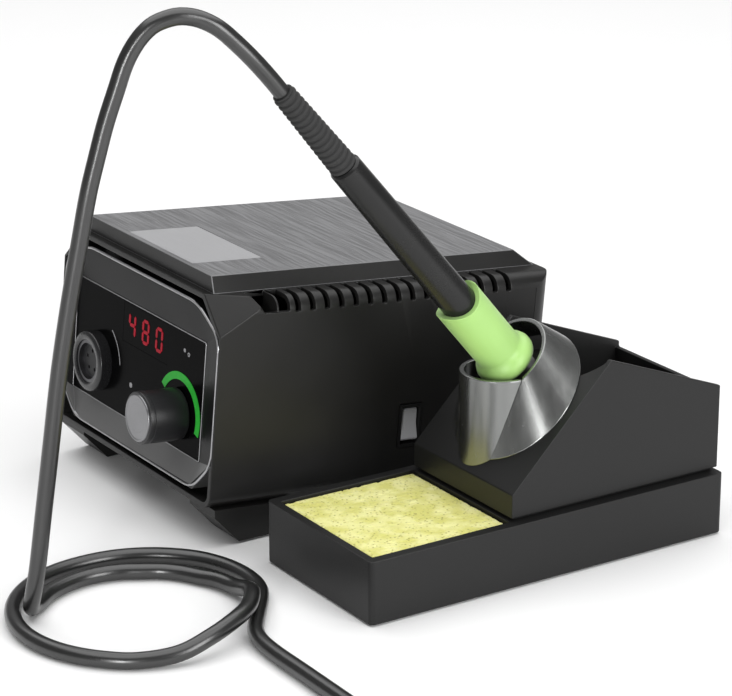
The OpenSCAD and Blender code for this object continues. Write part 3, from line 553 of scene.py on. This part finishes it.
def tube(name, line, radius, material, sides=20):
    """A round tube swept along the line, closed at both ends."""
    headings = [(after - before).normalized() for before, after in zip(line, line[1:])]
    headings.append(headings[-1])
    side = headings[0].orthogonal().normalized()
    vertices = []
    for point, heading in zip(line, headings):
        side = (side - heading * side.dot(heading)).normalized()
        other = heading.cross(side)
        for index in range(sides):
            turn = 2 * math.pi * index / sides
            vertices.append(point + (side * math.cos(turn) + other * math.sin(turn)) * radius)
    faces = [tuple(reversed(range(sides))), tuple(range(len(vertices) - sides, len(vertices)))]
    for ring in range(len(line) - 1):
        for index in range(sides):
            here = ring * sides + index
            after = ring * sides + (index + 1) % sides
            faces.append((here, after, after + sides, here + sides))
    return add_mesh(name, vertices, faces, material, 60)


def make_lead():
    places = (
        falling_route + landing_route + wound(LOOP_CENTRE, loop_shape) + tail_route
        + wound(SPARE_CENTRE, spare_shape) + end_route)
    line = flowing([Vector(place) * MM for place in places], 2.5 * MM)
    lead = tube("lead", line, CORD_RADIUS, cord_sheath("cord_sheath"))
    length = sum((after - before).length for before, after in zip(line, line[1:]))
    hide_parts("cord_upper", "cord_loop", "cord_tail", "cord_spare", "cord_end")
    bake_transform(lead)


make_lead()


# ---------------------------------------------------------------- control unit
case_plastic = moulded("case_plastic", (0.010, 0.0098, 0.0095), 0.38, specular=0.3)
bezel_plastic = moulded("bezel_plastic", (0.006, 0.006, 0.0062), 0.32, specular=0.08)
# painted light: a lighter grey copy of the bezel plastic for its lower band, standing in for the light that band
# catches as it faces up
bezel_ledge_painted_light = moulded("bezel_ledge_painted_light", (0.085, 0.085, 0.085), 0.4, specular=0.5)
# painted highlight: bright metal for the rods on the bezel's rim, round the display window and on the inlay's
# edges, standing in for light caught by rounded edges
painted_highlight_metal = brushed("painted_highlight_metal", (0.42, 0.42, 0.43), 0.3, (400, 400, 400))
# painted highlight: a lighter, glossier grey on the lid's rounded edges, standing in for the bright lines that
# light draws along them
painted_highlight_edge = moulded("painted_highlight_edge", (0.16, 0.16, 0.165), 0.35, specular=0.6)
# the prints glow though no lamp lights them: painted light on printed marks; the red digits are the display's own
# LEDs
green_print = glowing("green_print", (0.025, 0.34, 0.035), 0.30)
red_led = glowing("red_led", (0.24, 0.003, 0.012), 0.7)
grey_print_painted_glow = glowing("grey_print_painted_glow", (0.30, 0.30, 0.31), 0.1)


# the bezel's outline and window on the front, in millimetres
BEZEL_LOW, BEZEL_HIGH, BEZEL_HALF = 5.3, 88.3, 70.2
LOW_CUT_IN, LOW_CUT_TOP = 15, 20
HIGH_CUT_IN, HIGH_CUT_DOWN = 19.5, 10.6
WINDOW_LEFT, WINDOW_RIGHT, WINDOW_LOW, WINDOW_HIGH = -64, 54.6, 16.7, 71
LEDGE_TOP = 16
PRINT_FRONT, PRINT_BACK = 3.86, 3.98


def unit_spot(x, y, z):
    """A place given in the control unit's own tilted frame, in millimetres."""
    return unit_frame @ (Vector((x, y, z)) * MM)


def facing_front(x, z):
    """The frame on the panel's plane y = 0 whose z comes out of the front."""
    return along(unit_spot(x, 0, z), -backward)


def make_case():
    rounded_copy("housing", 0.5 * MM, case_plastic)
    dress(case_plastic, "base_plate", "feet")
    rounded_copy("rear_panel", 0.4 * MM, case_plastic)
    bezel = rounded_copy("bezel", 0.35 * MM, bezel_plastic)
    bezel.data.materials.append(bezel_ledge_painted_light)
    # the faces below the ledge take the lighter copy: painted light on the upward-facing band
    for face in bezel.data.polygons:
        if (unit_frame.inverted() @ face.center).z < LEDGE_TOP * MM:
            face.material_index = 1


def make_lid():
    skin = striated("lid_skin", (0.165, 0.165, 0.17))
    # the lid's rounded edges take the painted highlight
    lid = rounded_copy("lid", 0.35 * MM, skin, edge_highlight=painted_highlight_edge)
    lid.data.materials.append(case_plastic)
    up = unit_axes.col[2]
    for face in lid.data.polygons:
        if face.material_index == 0 and face.normal.dot(up) < 0.8:
            face.material_index = 2
    inlay = satin_plate("inlay_plastic", (0.42, 0.42, 0.43))
    rounded_copy("lid_inlay", 0.2 * MM, inlay, edge_highlight=painted_highlight_metal)


def rounded_corners(corners, radius, steps=5):
    """The outline's corners in a flat (x, z) loop, each replaced by a curve of that reach."""
    points = []
    for index, corner in enumerate(corners):
        here = Vector(corner)
        before = (Vector(corners[index - 1]) - here).normalized() * radius
        after = (Vector(corners[(index + 1) % len(corners)]) - here).normalized() * radius
        for step in range(steps + 1):
            t = step / steps
            points.append(here + before * (1 - t) ** 2 + after * t**2)
    return points


def line_tube(name, outline, y, radius, material):
    """A thin rod that follows a loop on the front and closes on itself."""
    line = [unit_spot(x, y, z) for x, z in outline]
    sides = 8
    vertices = []
    faces = []
    for index, point in enumerate(line):
        heading = (line[(index + 1) % len(line)] - line[index - 1]).normalized()
        side = heading.cross(backward).normalized()
        for step in range(sides):
            turn = 2 * math.pi * step / sides
            vertices.append(point + (side * math.cos(turn) + backward * math.sin(turn)) * radius)
    for index in range(len(line)):
        ahead = (index + 1) % len(line)
        for step in range(sides):
            after = (step + 1) % sides
            faces.append((
                index * sides + step, index * sides + after, ahead * sides + after, ahead * sides + step))
    piece = add_mesh(name, vertices, faces, material, 70)
    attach(piece, "root")


def make_trim():
    # the two rods are painted highlights: bright lines along the bezel's rim and round the display window
    low_in, high_in = BEZEL_HALF - LOW_CUT_IN, BEZEL_HALF - HIGH_CUT_IN
    high_side = BEZEL_HIGH - HIGH_CUT_DOWN
    outline = [
        (-BEZEL_HALF, LOW_CUT_TOP), (-low_in, BEZEL_LOW), (low_in, BEZEL_LOW), (BEZEL_HALF, LOW_CUT_TOP),
        (BEZEL_HALF, high_side), (high_in, BEZEL_HIGH), (-high_in, BEZEL_HIGH), (-BEZEL_HALF, high_side)]
    line_tube("bezel_edge_highlight", rounded_corners(outline, 7), 0.75, 0.7 * MM, painted_highlight_metal)
    opening = [
        (WINDOW_LEFT, WINDOW_LOW), (WINDOW_RIGHT, WINDOW_LOW), (WINDOW_RIGHT, WINDOW_HIGH),
        (WINDOW_LEFT, WINDOW_HIGH)]
    line_tube("panel_edge_highlight", rounded_corners(opening, 1), 3.85, 0.24 * MM, painted_highlight_metal)


def printed_ring(name, x, z, inner, outer, start, end, material):
    """A thin print on the glossy panel: part of a ring, or a dot when inner is 0."""
    steps = max(8, round(abs(end - start) / 4))
    vertices = []
    faces = []
    for step in range(steps + 1):
        turn = math.radians(start + (end - start) * step / steps)
        for radius in (inner, outer):
            for y in (PRINT_FRONT, PRINT_BACK):
                vertices.append(unit_spot(x + radius * math.cos(turn), y, z + radius * math.sin(turn)))
    for step in range(steps):
        here = step * 4
        for a, b in ((0, 1), (1, 3), (3, 2), (2, 0)):
            faces.append((here + a, here + b, here + 4 + b, here + 4 + a))
    faces.append((0, 2, 3, 1))
    faces.append(tuple(steps * 4 + index for index in (1, 3, 2, 0)))
    piece = add_mesh(name, vertices, faces, material, 30)
    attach(piece, "root")


def make_front():
    panel = gloss_panel("panel_gloss")
    dress(panel, "front_panel", "display_module")
    dress(red_led, "display_digits")
    # the printed scale and marks glow: painted light
    dress(green_print, "scale_arc")
    printed_ring("unit_mark", 36.5, 62.6, 0.0, 0.9, 0, 360, grey_print_painted_glow)
    printed_ring("unit_ring", 40.2, 61.6, 0.5, 0.95, 0, 360, grey_print_painted_glow)
    printed_ring("sensor_mark", -9.5, 33, 0.0, 1.2, 0, 360, grey_print_painted_glow)
    printed_ring("socket_arc", SOCKET_X, SOCKET_Z, 21.6, 22.1, 10, 55, grey_print_painted_glow)


def make_knob():
    place = facing_front(KNOB_X, KNOB_Z)
    side = [
        (3.1, -3.2), (11.2, -3.2), (11.8, -2.6), (11.8, 13.7), (11.5, 13.9), (11.5, 14.4), (11.8, 14.6),
        *arc((11.2, 16.0), 0.6, 0, 90, 4), (10.65, 16.6), (10.65, 15.8), (3.1, 15.8), (3.1, -3.2)]
    knob_plastic = moulded("knob_plastic", (0.012, 0.012, 0.013), 0.36, specular=0.45)
    stands_for(turned("knob_body", side, place, knob_plastic), "knob")
    grooves = [(9.4 - step * 0.36, 17.0 + 0.05 * (step % 2)) for step in range(26)]
    face = [(0.02, 15.85), (10.6, 15.85), (10.6, 16.85), (10.25, 17.2), (9.7, 17.2), *grooves, (0.02, 17.0)]
    metal = spun("knob_metal", unit_spot(KNOB_X, 0, KNOB_Z), backward)
    stands_for(turned("knob_face", face, place, metal, smooth_angle=50), "knob_cap")


def make_socket():
    place = facing_front(SOCKET_X, SOCKET_Z)
    ring = [
        (10.1, -4), (14, -4), (14, 0.9), *arc((13.2, 0.9), 0.8, 0, 60, 4), (12.4, 2.2), (10.6, 2.2),
        (10.1, 1.8), (10.1, -4)]
    socket_plastic = moulded("socket_plastic", (0.014, 0.014, 0.015), 0.26, specular=0.5)
    stands_for(turned("socket_collar", ring, place, socket_plastic), "socket_ring")
    socket_metal = brushed("socket_metal", (0.10, 0.10, 0.105), 0.34, (900, 900, 900))
    dress(socket_metal, "socket_shell", "potentiometer")
    insert_plastic = moulded("insert_plastic", (0.02, 0.02, 0.021), 0.5, specular=0.3)
    dress(insert_plastic, "socket_insert", "mains_inlet", "plug_insert")


def make_switch():
    dress(moulded("switch_frame", (0.008, 0.008, 0.008), 0.4, specular=0.3), "rocker_frame")
    rounded_copy("rocker", 0.4 * MM, moulded("rocker_plastic", (0.30, 0.30, 0.31), 0.38))


def make_rear():
    drawer = moulded("drawer_plastic", (0.010, 0.010, 0.010), 0.42)
    rounded_copy("fuse_drawer", 0.3 * MM, drawer)
    dress(brushed("contact_metal", (0.75, 0.74, 0.7), 0.22, (900, 300, 900)), "inlet_pins")
    steel = brushed("screw_steel", (0.45, 0.45, 0.46), 0.32, (1200, 1200, 1200))
    dress(steel, "case_screws", "stand_screws", "knob_shaft", "transformer_bracket")


def make_inside():
    board = moulded("circuit_board", (0.02, 0.14, 0.05), 0.4, grain_scale=1200, spread=0.25)
    dress(board, "display_board", "power_board", "handle_board")
    dress(brushed("brass", (0.72, 0.55, 0.28), 0.3, (1200, 1200, 1200)), "pot_nut")
    dress(brushed("core_steel", (0.30, 0.30, 0.31), 0.45, (200, 3000, 200)), "transformer_core")
    dress(brushed("copper_wire", (0.72, 0.32, 0.12), 0.3, (200, 200, 4000)), "transformer_coil")
    dress(moulded("capacitor_sleeve", (0.02, 0.04, 0.16), 0.3), "capacitors")
    dress(brushed("heatsink_metal", (0.55, 0.55, 0.57), 0.4, (200, 200, 2500)), "heatsink")
    dress(moulded("fuse_glass", (0.7, 0.7, 0.66), 0.12), "fuse")
    dress(moulded("heater_ceramic", (0.8, 0.78, 0.74), 0.6), "heater")


make_case()
make_lid()
make_trim()
make_front()
make_knob()
make_socket()
make_switch()
make_rear()
make_inside()

# ---------------------------------------------------------------- iron stand
stand_plastic = moulded("stand_plastic", (0.010, 0.010, 0.010), 0.42, specular=0.3)
foot_rubber = soft_rubber("foot_rubber", (0.012, 0.012, 0.012), 0.6)


def make_stand():
    rounded_copy("stand_tray", 0.5 * MM, stand_plastic)
    rounded_copy("iron_holder", 0.5 * MM, stand_plastic)
    dress(stand_plastic, "stand_base")
    dress(foot_rubber, "foot_pads", "stand_pads")


def make_funnel():
    funnel_metal = brushed("funnel_metal", (0.24, 0.245, 0.24), 0.25, (260, 260, 40), depth=0.000006)
    rounded_copy("funnel", 0.35 * MM, funnel_metal, angle=38)
    rounded_copy("funnel_cup", 0.5 * MM, funnel_metal, angle=38, segments=3)
    dress(brushed("tube_metal", (0.30, 0.30, 0.30), 0.35, (700, 700, 60)), "guide_tube")


def make_sponge():
    """A block of cellulose sponge: soft corners and open pores."""
    low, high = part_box("sponge")
    middle = (low + high) / 2
    half = (high - low) / 2
    made = bmesh.new()
    bmesh.ops.create_cube(made, size=2)
    for vertex in made.verts:
        vertex.co = Vector(vertex.co[axis] * half[axis] for axis in range(3))
    edges = list(made.edges)
    bmesh.ops.bevel(made, geom=edges, offset=1.6 * MM, segments=3, affect="EDGES", profile=0.6)
    long_edges = [edge for edge in made.edges if edge.calc_length() > 10 * MM]
    bmesh.ops.subdivide_edges(made, edges=long_edges, cuts=90, use_grid_fill=True)
    bmesh.ops.recalc_face_normals(made, faces=made.faces)
    made.normal_update()
    for vertex in made.verts:
        if vertex.co.z > -half.z * 0.9:
            fine = noise.noise(vertex.co * 650)
            broad = noise.noise(vertex.co * 140)
            pore = max(0.0, fine - 0.18) * 1.1 + max(0.0, broad - 0.25) * 0.4
            vertex.co -= vertex.normal * min(pore, 0.6) * MM
    mesh = bpy.data.meshes.new("sponge_block")
    made.to_mesh(mesh)
    made.free()
    mesh.transform(Matrix.Translation(middle))
    mesh.materials.append(sponge_skin("sponge_foam"))
    piece = bpy.data.objects.new("sponge_block", mesh)
    bpy.context.scene.collection.objects.link(piece)
    for face in mesh.polygons:
        face.use_smooth = True
    stands_for(piece, "sponge")


make_stand()
make_funnel()
make_sponge()

# ---------------------------------------------------------------- iron
# heights along the iron's axis and radii, in millimetres
HANDLE_END = 130
RELIEF_LENGTH = 44
RELIEF_RIBS = 15
RELIEF_WIDE, RELIEF_NARROW = 5.2, 4.0
# the relief and the plug keep the frame's own plain materials
relief_rubber = bpy.data.materials["relief_rubber"]
# one rib as (rise above the sleeve, share of the pitch)
RIB_SHAPE = [(0, 0), (0.65, 0.06), (0.9, 0.2), (0.9, 0.42), (0.65, 0.56), (0, 0.64)]


def make_handle():
    finish = moulded("handle_plastic", (0.010, 0.010, 0.010), 0.26, specular=0.35)
    profile = [
        (5.3, 4), (8.2, 4), (6.9, 128.8), (6.2, 129.6), (5.4, HANDLE_END), (0.02, HANDLE_END),
        (0.02, 127.5), (5.3, 127), (5.3, 4)]
    stands_for(turned("handle_tube", profile, iron_frame, finish), "handle")
    grip_rubber = soft_rubber("grip_rubber", (0.33, 0.56, 0.16), 0.42)
    rounded_copy("grip", 0.35 * MM, grip_rubber, angle=30, segments=3)


def make_relief():
    """A ribbed sleeve that tapers along its length, each rib with a rounded crest."""
    pitch = RELIEF_LENGTH / RELIEF_RIBS
    profile = [(0.02, HANDLE_END)]
    for rib in range(RELIEF_RIBS):
        foot = HANDLE_END + rib * pitch
        core = RELIEF_WIDE + (RELIEF_NARROW - RELIEF_WIDE) * rib / RELIEF_RIBS
        for rise, share in RIB_SHAPE:
            profile.append((core + rise, foot + share * pitch))
    end = HANDLE_END + RELIEF_LENGTH
    profile.append((RELIEF_NARROW + 0.5, end - 0.1 * pitch))
    profile.append((RELIEF_NARROW + 0.5, end))
    profile.append((0.02, end))
    sleeve = turned("iron_relief", profile, iron_frame, relief_rubber, sides=48, smooth_angle=50)
    stands_for(sleeve, "strain_relief")


def make_iron():
    make_handle()
    make_relief()
    dress(brushed("barrel_steel", (0.62, 0.61, 0.59), 0.28, (900, 900, 900)), "tip_nut", "barrel")
    dress(brushed("tip_metal", (0.50, 0.40, 0.32), 0.36, (900, 900, 900)), "tip")


def make_plug():
    dress(bpy.data.materials["socket_plastic"], "plug_shell")
    dress(bpy.data.materials["socket_metal"], "plug_ring")
    dress(relief_rubber, "plug_relief")


make_iron()
make_plug()


# ---------------------------------------------------------------- studio
def make_floor():
    """A sheet of paper: level under the object and curving up far behind it."""
    reach = 3.2
    rise = 1.2
    vertices = []
    faces = []
    rows = 24
    for row in range(rows + 1):
        share = row / rows
        if share < 0.7:
            back, up = -reach + share / 0.7 * reach * 2, 0.0
        else:
            turn = (share - 0.7) / 0.3 * math.pi / 2
            back, up = reach + rise * math.sin(turn), rise * (1 - math.cos(turn))
        for side in (-reach, reach):
            vertices.append(Vector((side, back, up)))
    for row in range(rows):
        here = row * 2
        faces.append((here, here + 1, here + 3, here + 2))
    floor = add_mesh("paper_sweep", vertices, faces, plain_floor(), 60)
    floor.rotation_euler = (0, 0, CAMERA_AZIMUTH)


def softbox(name, azimuth, elevation, distance, width, height, power):
    light = bpy.data.lights.new(name, "AREA")
    light.shape = "RECTANGLE"
    light.size = width
    light.size_y = height
    light.energy = power
    place = look_from(math.radians(azimuth), math.radians(elevation), distance)
    aim_at(bpy.data.objects.new(name, light), place, AIM)


def light_studio():
    world = bpy.data.worlds.new("studio")
    world.use_nodes = True
    background = world.node_tree.nodes["Background"]
    background.inputs["Color"].default_value = (1, 1, 1, 1)
    background.inputs["Strength"].default_value = 0.22
    bpy.context.scene.world = world
    bpy.context.scene.view_settings.view_transform = "Standard"
    softbox("overhead", 240, 80, 1.9, 3.4, 3.4, 70)
    softbox("right_strip", 104, 16, 1.6, 0.7, 1.0, 16)
    softbox("front_strip", 40, 7, 1.4, 0.16, 0.5, 8)


make_floor()
light_studio()
